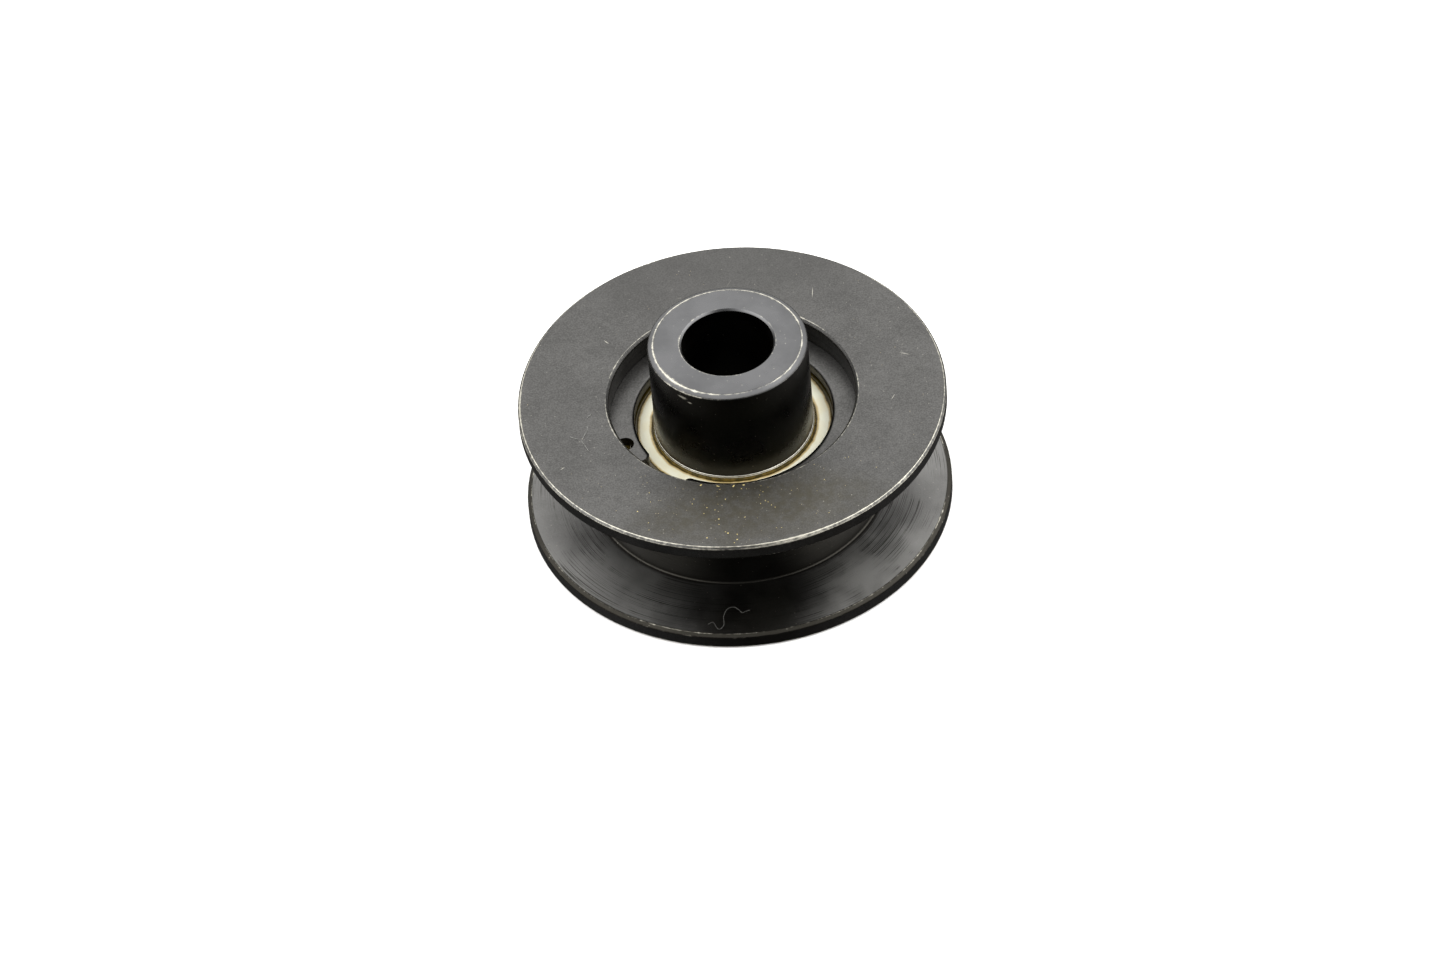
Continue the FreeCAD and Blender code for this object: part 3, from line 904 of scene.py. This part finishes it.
def hub_section():
    return rounded_outline([
        (HUB_BORE + BORE_BREAK, HUB_NOSE, 0.12, 0.6),
        (HUB_RADIUS - NOSE_BEVEL, HUB_NOSE, 0.40, 1.0),
        (HUB_RADIUS, HUB_NOSE - NOSE_DROP, 0.14, 0.6),
        (HUB_RADIUS, BEARING_FACE, 0.1, 0.0),
        (SPIGOT_RADIUS, BEARING_FACE, 0.05, 0.0),
        (SPIGOT_RADIUS, -BEARING_FACE + SPIGOT_LEAD, 0.08, 0.6),
        (SPIGOT_RADIUS - SPIGOT_LEAD, -BEARING_FACE, 0.08, 0.8),
        (HUB_BORE + BORE_BREAK, -BEARING_FACE, 0.08, 0.8),
        (HUB_BORE, -BEARING_FACE + BORE_BREAK, 0.08, 0.3),
        (HUB_BORE, HUB_NOSE - BORE_BREAK, 0.10, 0.5),
    ], fade=0.5)


hub = turned_piece("hub", hub_section(), hub_oxide)
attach(hub, "hub")
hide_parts("hub_bush")

# %% [markdown]
# ## The bearing
#
# Both rings are turned with their ball races, and both shields are pressed from thin
# sheet: a flat band, a small step up, and an edge that turns down into its seat.

# %% Turn the bearing's rings and press its shields
BEARING_BORE = 8.5
BEARING_CORNER = 0.3
LAND_CORNER = 0.15
SHIELD_PLAY = 0.03
SHIELD_CRIMP = 0.25
SHIELD_STEP = 0.2


def outer_ring_section():
    seat = SHIELD_RADIUS + SHIELD_PLAY
    crimp = seat - SHIELD_CRIMP
    upper = [
        (OUTER_LAND, SHIELD_EDGE, 0.03, 0.0),
        (seat, SHIELD_EDGE, 0.03, 0.0),
        (seat, SHIELD_BAND_TOP, 0.03, 0.0),
        (crimp, SHIELD_BAND_TOP + SHIELD_CRIMP, 0.05, 0.3),
        (crimp, BEARING_FACE, 0.08, 0.5),
        (SEAT_RADIUS - BEARING_CORNER, BEARING_FACE, 0.05, 0.3),
        (SEAT_RADIUS, BEARING_FACE - BEARING_CORNER, 0.05, 0.3),
    ]
    race = race_arc(OUTER_RACE_ROOT, -1)
    return rounded_outline(upper + mirrored(upper) + race, fade=0.3)


def inner_ring_section():
    upper = [
        (BEARING_BORE, BEARING_FACE - BEARING_CORNER, 0.05, 0.0),
        (BEARING_BORE + BEARING_CORNER, BEARING_FACE, 0.05, 0.5),
        (INNER_LAND - LAND_CORNER, BEARING_FACE, 0.05, 0.9),
        (INNER_LAND, BEARING_FACE - LAND_CORNER, 0.05, 0.9),
    ]
    race = race_arc(INNER_RACE_ROOT, 1)
    return rounded_outline(upper + list(reversed(race)) + mirrored(upper), fade=0.12)


def shield_section(side):
    under = SHIELD_BAND_TOP - SHIELD_GAUGE
    bend = OUTER_LAND + SHIELD_GAUGE
    corners = [
        (SHIELD_HOLE, SHIELD_BAND_TOP, 0.1, 0.5),
        (SHIELD_BAND_END, SHIELD_BAND_TOP, 0.15, 0.0),
        (SHIELD_BAND_END + SHIELD_STEP, SHIELD_BAND_TOP + SHIELD_STEP, 0.15, 0.2),
        (bend, SHIELD_BAND_TOP + SHIELD_STEP, 0.1, 0.2),
        (bend, under, 0.05, 0.0),
        (SHIELD_RADIUS, under, 0.1, 0.0),
        (SHIELD_RADIUS, SHIELD_EDGE, 0.1, 0.0),
        (OUTER_LAND, SHIELD_EDGE, 0.1, 0.0),
        (OUTER_LAND, under + SHIELD_STEP, 0.1, 0.0),
        (SHIELD_BAND_END + SHIELD_STEP, under + SHIELD_STEP, 0.1, 0.0),
        (SHIELD_BAND_END, under, 0.1, 0.0),
        (SHIELD_HOLE, under, 0.1, 0.5),
    ]
    return rounded_outline(on_side(corners, side))


bearing_pieces = [
    ("outer_race_ring", "bearing_outer_ring", "roller", outer_ring_section(), race_finish),
    ("inner_race_ring", "bearing_inner_ring", "hub", inner_ring_section(), race_finish),
    ("upper_shield", "shield_upper", "roller", shield_section(1), shield_finish),
    ("lower_shield", "shield_lower", "roller", shield_section(-1), shield_finish),
]
for name, node, body, section, material in bearing_pieces:
    piece = turned_piece(name, section, material)
    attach(piece, body)
    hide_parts(node)
    "shield_zinc" if "shield" in name else "bearing_steel"

# %% [markdown]
# Old oil has crept into the narrow gap between the inner ring and each shield, and
# dried there as a dark ring with a hollow top.  It stays with the inner ring, a hair
# clear of the shield, so the shield can turn past it.

# %% Fill the gaps with dried oil
def oil_section(side):
    """Oil that climbs the inner ring and hollows down towards the shield."""
    inner = INNER_LAND + 0.01
    outer = SHIELD_HOLE - 0.02
    bottom = SHIELD_BAND_TOP - 0.25
    hollow = [
        (inner, SHIELD_BAND_TOP + 0.46, 0.01, 0.0),
        ((inner + outer) / 2, SHIELD_BAND_TOP + 0.16, 0.03, 0.0),
        (outer, SHIELD_BAND_TOP + 0.02, 0.01, 0.0),
        (outer, bottom, 0.01, 0.0),
        (inner, bottom, 0.01, 0.0),
    ]
    return rounded_outline(on_side(hollow, side))


for name, side in (("upper_oil_ring", 1), ("lower_oil_ring", -1)):
    film = turned_piece(name, oil_section(side), oil_finish)
    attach(film, "hub")

# %% [markdown]
# ## The retaining ring
#
# The ring is stamped from spring steel, so the edge that the die entered is rolled
# over.  It has a gap, rounded ends and a plier hole near each end.  Its section is
# swept round in steps and pinched near the ends along a quarter circle, which rounds
# them, and two cylinders cut the holes.

# %% Sweep the ring
RING_INSIDE = SEAT_RADIUS - 3.38
RING_GAP_ANGLE = math.radians(28.0)
RING_GAP_DIRECTION = math.radians(-135.0)
RING_END_ROUND = 0.8
RING_END_SLIVER = 0.0001
RING_STEPS = 240
RING_END_STEPS = 10
RING_ROLL = 0.48
PLIER_HOLE_RADIUS = 1.25
PLIER_HOLE_CIRCLE = SEAT_RADIUS - 1.25
PLIER_HOLE_ANGLE = math.radians(15.0)
SHARP_ANGLE = math.radians(40.0)


def ring_section():
    """The ring's section: its inner top edge is rolled over, the rest is crisp."""
    return rounded_outline([
        (RING_INSIDE, RING_TOP, RING_ROLL, 0.3),
        (RING_RADIUS, RING_TOP, 0.08, 0.1),
        (RING_RADIUS, BEARING_FACE, 0.08, 0.0),
        (RING_INSIDE, BEARING_FACE, 0.10, 0.2),
    ], fade=0.4)


def pinch(radius, from_end):
    """A radius moved in from both edges near an end of the ring."""
    if from_end >= RING_END_ROUND:
        return radius
    inset = RING_END_ROUND - math.sqrt(RING_END_ROUND ** 2 - (RING_END_ROUND - from_end) ** 2)
    share = (radius - RING_INSIDE) / (RING_RADIUS - RING_INSIDE)
    return radius + inset * (1 - 2 * share)


def ring_stations():
    """Angles of the sweep's steps, closer together near both ends, each with its
    distance from the nearer end in millimetres."""
    first = RING_GAP_DIRECTION + RING_GAP_ANGLE / 2
    sweep = math.tau - RING_GAP_ANGLE
    middle = (RING_RADIUS + RING_INSIDE) / 2
    quarter = [i * math.pi / 2 / RING_END_STEPS for i in range(RING_END_STEPS)]
    near = [RING_END_ROUND * (1 - math.cos(angle)) for angle in quarter]
    start = RING_END_ROUND / middle
    inner = [start + (sweep - 2 * start) * i / RING_STEPS for i in range(RING_STEPS + 1)]
    return ([(first + distance / middle, distance) for distance in near]
            + [(first + angle, RING_END_ROUND) for angle in inner]
            + [(first + sweep - distance / middle, distance) for distance in reversed(near)])


def sweep_ring():
    """The section at each station, joined to the next and closed at both ends."""
    outline, stations = ring_section(), ring_stations()
    count = len(outline)
    last = (len(stations) - 1) * count
    points = []
    for angle, from_end in stations:
        for radius, height, _ in outline:
            pinched = pinch(radius, max(from_end, RING_END_SLIVER)) * MM
            points.append((pinched * math.cos(angle), pinched * math.sin(angle), height * MM))
    faces = [(i + j, i + (j + 1) % count, i + count + (j + 1) % count, i + count + j)
             for i in range(0, last, count) for j in range(count)]
    faces += [tuple(range(count - 1, -1, -1)), tuple(range(last, last + count))]
    mesh = bpy.data.meshes.new("retaining_spring_ring")
    mesh.from_pydata(points, [], faces)
    add_wear(mesh, [wear for _, _, wear in outline] * len(stations))
    point_outwards(mesh)
    return new_object("retaining_spring_ring", mesh)


# %% Cut the plier holes
def cut_plier_holes(ring):
    """Cut a round hole near each end of the ring."""
    cutters = []
    for side in (1, -1):
        angle = RING_GAP_DIRECTION + side * (RING_GAP_ANGLE / 2 + PLIER_HOLE_ANGLE)
        shape = bmesh.new()
        bmesh.ops.create_cone(shape, cap_ends=True, segments=48, depth=4 * MM,
                              radius1=PLIER_HOLE_RADIUS * MM, radius2=PLIER_HOLE_RADIUS * MM)
        middle = Vector((PLIER_HOLE_CIRCLE * math.cos(angle),
                         PLIER_HOLE_CIRCLE * math.sin(angle), (RING_TOP + BEARING_FACE) / 2))
        bmesh.ops.translate(shape, verts=shape.verts, vec=middle * MM)
        mesh = bpy.data.meshes.new("plier_hole")
        shape.to_mesh(mesh)
        shape.free()
        cutter = new_object("plier_hole", mesh)
        cut = ring.modifiers.new("plier_hole", "BOOLEAN")
        cut.object = cutter
        cut.operation = "DIFFERENCE"
        cut.solver = "MANIFOLD"
        cutters.append(cutter)
    ring.data = evaluated_mesh(ring)
    ring.modifiers.clear()
    for cutter in cutters:
        bpy.data.objects.remove(cutter)


def tidy_mesh(mesh):
    """Merge doubled points, point every face outwards and shade smooth, but keep
    sharp corners crisp."""
    shape = bmesh.new()
    shape.from_mesh(mesh)
    bmesh.ops.remove_doubles(shape, verts=shape.verts, dist=0.0005 * MM)
    bmesh.ops.recalc_face_normals(shape, faces=shape.faces)
    open_edges = sum(len(edge.link_faces) != 2 for edge in shape.edges)
    for face in shape.faces:
        face.smooth = True
    for edge in shape.edges:
        if len(edge.link_faces) == 2 and edge.calc_face_angle() > SHARP_ANGLE:
            edge.smooth = False
    shape.to_mesh(mesh)
    shape.free()
    volume = point_outwards(mesh)
    print(f"{mesh.name}: {len(mesh.polygons)} faces, {open_edges} open edges, "
          f"{volume / MM ** 3:.0f} mm3")


retaining = sweep_ring()
cut_plier_holes(retaining)
tidy_mesh(retaining.data)
give_material(retaining.data, ring_oxide)
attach(retaining, "roller")
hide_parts("retaining_ring")

# %% [markdown]
# ## Cage, rivets and balls
#
# These are sealed inside the bearing.  The frame's own cage halves and balls already
# have the right shape, so they keep it and only get their finish.  The ten rivets are
# one domed rivet, copied round the pitch circle by a tree.

# %% Rivets round the cage
def make_copies_tree():
    tree, given, result = new_geometry_tree("copies round the axis", {
        "Count": 10, "Circle radius": 13 * MM, "First angle": 0.0})
    index = Value(add_node(tree, "GeometryNodeInputIndex").outputs[0])
    angle = index * (math.tau / given["Count"]) + given["First angle"]
    place = join(calc("COSINE", angle) * given["Circle radius"],
                 calc("SINE", angle) * given["Circle radius"])
    points = effect("GeometryNodePoints", {"Count": given["Count"], "Position": place})
    copies = effect("GeometryNodeInstanceOnPoints", {
        "Points": points, "Instance": given["Geometry"]})
    finish_tree(given, result, copies)
    return tree


RIVET_NODES = sorted(name for name in frame["nodes"] if name.startswith("cage_rivet"))
RIVET_HEAD = 0.73
RIVET_SHANK = 0.4
rivet_section = [
    (0.0, 0.82, 0.0), (0.25, 0.8, 0.0), (0.48, 0.74, 0.0), (0.65, 0.64, 0.0),
    (RIVET_HEAD, 0.5, 0.0), (RIVET_SHANK, 0.5, 0.0)]
rivet_outline = rivet_section + [(r, -h, w) for r, h, w in reversed(rivet_section)]
rivets = turned_piece("cage_rivets", rivet_outline, cage_finish, segments=24)
run_tree(rivets, make_copies_tree(), {
    "Count": len(RIVET_NODES), "Circle radius": PITCH_RADIUS * MM,
    "First angle": math.pi / len(RIVET_NODES), "Material": cage_finish})
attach(rivets, "cage")
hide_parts(*RIVET_NODES)
print("rivets:", len(RIVET_NODES))

# %% Finish the frame's own cage and balls
for node in sorted(frame["nodes"]):
    if node.startswith("ball_"):
        give_material(frame["nodes"][node].data, ball_finish)
    elif node in ("cage_upper", "cage_lower"):
        give_material(frame["nodes"][node].data, cage_finish)

# %% [markdown]
# ## Grit and lint
#
# Grains of brass and grit stick to the oily face, mostly in front of the recess, and
# a few fibres of lint cling to the roller.  The grains are one small flattened
# pebble, copied by a tree onto scattered points, each with its own size and turn.

# %% Tree for grains
def make_grain_tree():
    """Pebbles on points.  A Random Value node keeps its float limits at inputs 2 and 3,
    and its float result at output 1."""
    tree, given, result = new_geometry_tree("grains on points", {
        "Grain size": 0.1 * MM, "Flatness": 0.35, "Seed": 4})
    pebble = effect("GeometryNodeMeshIcoSphere", {
        "Radius": given["Grain size"], "Subdivisions": 1})
    turn = effect("FunctionNodeRandomValue", {2: 0.0, 3: math.tau, "Seed": given["Seed"]}, 1,
                  data_type="FLOAT")
    size = add_node(tree, "GeometryNodeInputNamedAttribute", {"Name": "size"},
                    data_type="FLOAT_VECTOR").outputs[0]
    scale = vector_calc("MULTIPLY", Value(size), join(1.0, 1.0, given["Flatness"]))
    copies = effect("GeometryNodeInstanceOnPoints", {
        "Points": given["Geometry"], "Instance": pebble,
        "Rotation": join(0.0, 0.0, turn), "Scale": scale})
    finish_tree(given, result, copies)
    return tree


grain_tree = make_grain_tree()

# %% Finishes for grains and lint
def grain_finish(name, colour, metallic, rough):
    material, shader, place, _ = start_material(name)
    speckle = noise(place, 6000.0)
    set_shader(shader,
               mix_colour(speckle.remap(0.35, 0.65), colour, shaded(colour, 0.45)),
               metallic, speckle.remap(0.3, 0.7, rough - 0.1, rough + 0.1))
    return material


brass_finish = grain_finish("brass_grain", (0.62, 0.50, 0.20, 1.0), 0.35, 0.5)
grit_finish = grain_finish("grit_grain", (0.24, 0.20, 0.13, 1.0), 0.0, 0.7)
lint_finish = grain_finish("lint_fibre", (0.19, 0.19, 0.18, 1.0), 0.0, 0.8)
# A darker, glossier copy of the lint finish, for the fibre in the groove.
dark_lint_finish = grain_finish("dark_lint_fibre", (0.05, 0.05, 0.045, 1.0), 0.0, 0.6)

# %% Scatter the grains
BRASS_GRAINS = [
    # x, y, length and width, in millimetres
    (-3.37, -24.43, 1.1, 0.9), (-2.29, -27.31, 1.3, 1.0), (-5.25, -27.85, 1.1, 1.0),
    (-1.03, -27.70, 0.9, 0.8), (-1.10, -28.71, 1.1, 1.0), (-6.60, -20.10, 0.8, 0.6),
    (-6.90, -21.00, 0.6, 0.6), (3.30, -21.60, 0.8, 0.7), (2.60, -22.10, 0.7, 0.6),
]
RECESS_EDGE_GRAINS = [
    (-5.45, -17.45, 1.8, 0.9), (-3.10, -17.98, 2.6, 0.7), (-0.92, -18.22, 2.4, 0.9),
    (0.50, -18.20, 1.8, 1.0),
]


def point_cloud(name, rows):
    """Loose points on the upper face, each with a size attribute."""
    mesh = bpy.data.meshes.new(name)
    mesh.from_pydata([(x * MM, y * MM, ROLLER_FACE * MM) for x, y, _, _ in rows], [], [])
    size = mesh.attributes.new("size", "FLOAT_VECTOR", "POINT")
    size.data.foreach_set("vector", [v for _, _, a, b in rows for v in (a, b, b)])
    return new_object(name, mesh)


def scattered(seed, count, middle, spread):
    """Grains scattered about a middle angle, kept between the recess and the rim."""
    draw = random.Random(seed)
    rows = []
    while len(rows) < count:
        angle = math.radians(draw.gauss(middle, spread))
        radius = draw.uniform(SEAT_RADIUS + 1.2, ROLLER_RADIUS - 1.0)
        size = draw.uniform(0.35, 0.85)
        rows.append((radius * math.cos(angle), radius * math.sin(angle), size,
                     size * draw.uniform(0.6, 1.0)))
    return rows


grain_pieces = [
    ("brass_grains", BRASS_GRAINS + RECESS_EDGE_GRAINS + scattered(11, 44, -93.0, 20.0),
     brass_finish, 5),
    ("grit_grains", scattered(23, 70, -95.0, 30.0) + scattered(29, 36, 60.0, 90.0),
     grit_finish, 9),
]
for name, rows, material, seed in grain_pieces:
    grains = run_tree(point_cloud(name, rows), grain_tree, {
        "Grain size": 0.11 * MM, "Flatness": 0.3, "Seed": seed, "Material": material})
    tidy_mesh(grains.data)
    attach(grains, "roller")

# %% Lay the lint
FACE_LINT = [(-20.72, -3.79), (-20.6, -4.4), (-21.04, -5.27), (-21.36, -6.01),
             (-21.67, -6.81), (-21.27, -7.46), (-21.04, -8.19), (-20.77, -8.79)]
SHORT_LINT = [(-20.64, -2.21), (-20.42, -1.98), (-19.95, -1.45)]
SIDE_LINT = [(-23.22, -5.7), (-22.49, -6.09), (-22.18, -6.29)]
GROOVE_LINT = [(-6.23, -27.57), (-5.56, -27.15), (-5.28, -27.6), (-5.02, -28.43),
               (-4.72, -28.69), (-4.27, -28.43), (-3.95, -27.86), (-3.98, -27.16),
               (-3.98, -26.53), (-3.7, -25.78), (-3.27, -25.13), (-2.51, -25.0),
               (-1.96, -25.29), (-1.56, -25.81), (-1.28, -26.23), (-0.95, -26.04),
               (-0.17, -25.81)]
LINT_RADIUS = 0.05


def on_face(x, y):
    """Height of a fibre that lies on the upper face."""
    return ROLLER_FACE + 0.6 * LINT_RADIUS


def on_lower_flank(x, y):
    """Height of a fibre that lies on the groove's lower flank."""
    flank = ROOT_HALF_WIDTH + FLANK_SLOPE * (math.hypot(x, y) - ROOT_RADIUS)
    return -flank + 0.6 * LINT_RADIUS


def lint_piece(name, fibres, height, material):
    """Round fibres through their points, laid at the height that a rule gives."""
    curve = bpy.data.curves.new(name, "CURVE")
    curve.dimensions = "3D"
    curve.bevel_depth = LINT_RADIUS * MM
    curve.bevel_resolution = 1
    curve.use_fill_caps = True
    for fibre in fibres:
        line = curve.splines.new("NURBS")
        line.points.add(len(fibre) - 1)
        for item, (x, y) in zip(line.points, fibre):
            item.co = (x * MM, y * MM, height(x, y) * MM, 1.0)
        line.order_u = 3
        line.use_endpoint_u = True
    laid = new_object(name + "_curve", curve)
    mesh = evaluated_mesh(laid)
    bpy.data.objects.remove(laid)
    mesh.name = name
    tidy_mesh(mesh)
    give_material(mesh, material)
    piece = new_object(name, mesh)
    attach(piece, "roller")


lint_piece("lint_on_face", [FACE_LINT, SHORT_LINT, SIDE_LINT], on_face, lint_finish)
lint_piece("lint_in_groove", [GROOVE_LINT], on_lower_flank, dark_lint_finish)

# %% [markdown]
# ## Stage, light and camera
#
# A black part shows its shape only by what it reflects.  So the light is a soft dome
# with four parts: a bright top and back that level faces mirror, a low glow on each
# side for the flanks, and a weak band above the horizon that fades in front, which
# leaves the upright walls dark.  The floor is pale, but the metal doesn't mirror it.

# %% Floor, light and camera
FLOOR_GREY = (0.9, 0.9, 0.9, 1.0)
DOME_TINT = (1.0, 0.99, 0.97, 1.0)
WHITE = (1.0, 1.0, 1.0, 1.0)


def make_floor():
    """A wide pale floor, a hair under the roller's lower rim."""
    mesh = bpy.data.meshes.new("floor")
    reach = 4.0
    level = (-ROLLER_FACE - 0.02) * MM
    mesh.from_pydata([(-reach, -reach, level), (reach, -reach, level),
                      (reach, reach, level), (-reach, reach, level)], [], [(0, 1, 2, 3)])
    floor = new_object("floor", mesh)
    material, shader, _, _ = start_material("pale_floor")
    set_shader(shader, FLOOR_GREY, 0.0, 0.9)
    put(0.1, shader["Specular IOR Level"])
    mesh.materials.append(material)
    floor.visible_glossy = False
    floor.visible_diffuse = False


def make_dome():
    """A world with a bright back and top, a low glow on each side and a weak band
    above the horizon that fades in front.  The eye sees plain white."""
    world = bpy.data.worlds.new("soft_dome")
    scene.world = world
    world.use_nodes = True
    tree = world.node_tree
    background = tree.nodes["Background"].inputs
    direction = Value(add_node(tree, "ShaderNodeTexCoord").outputs["Generated"])

    def towards(aim, low, high, strength):
        """Light that grows towards one direction."""
        near = vector_calc("DOT_PRODUCT", direction, Vector(aim).normalized(), output="Value")
        return near.remap(low, high, 0.0, strength)

    top_and_back = towards((0.02, 0.50, 0.86), 0.10, 0.92, 1.5)
    left = towards((-0.82, -0.22, 0.45), 0.58, 0.95, 2.5)
    right = towards((0.85, -0.12, 0.45), 0.58, 0.95, 2.7)
    front = 1.0 - towards((0.0, -0.85, 0.5), 0.70, 0.92, 0.85)
    band = split(direction)[2].remap(0.02, 0.30, 0.07, 0.7) * front
    glow = top_and_back + band + (left + right)
    seen = Value(add_node(tree, "ShaderNodeLightPath").outputs["Is Camera Ray"])
    put((0.88 - glow) * seen + glow, background["Strength"])
    put(mix_colour(seen, DOME_TINT, WHITE), background["Color"])


def make_camera():
    """The camera stands in front of the part and above it, turned a little."""
    distance = 1.13189
    aim = Vector((-2.390, -6.858, 0.0)) * MM
    elevation = math.radians(45.147)
    roll = math.radians(-5.12)
    data = bpy.data.cameras.new("camera")
    data.lens = 199.3
    data.sensor_width = 36.0
    data.clip_start = 0.05
    camera = new_object("camera", data)
    back = Vector((0.0, -math.cos(elevation), math.sin(elevation)))
    camera.location = aim + back * distance
    upright = (-back).to_track_quat("-Z", "Y").to_matrix()
    camera.rotation_euler = (upright @ Matrix.Rotation(roll, 3, "Z")).to_euler()
    scene.camera = camera


make_floor()
make_dome()
make_camera()
scene.view_settings.view_transform = "Standard"
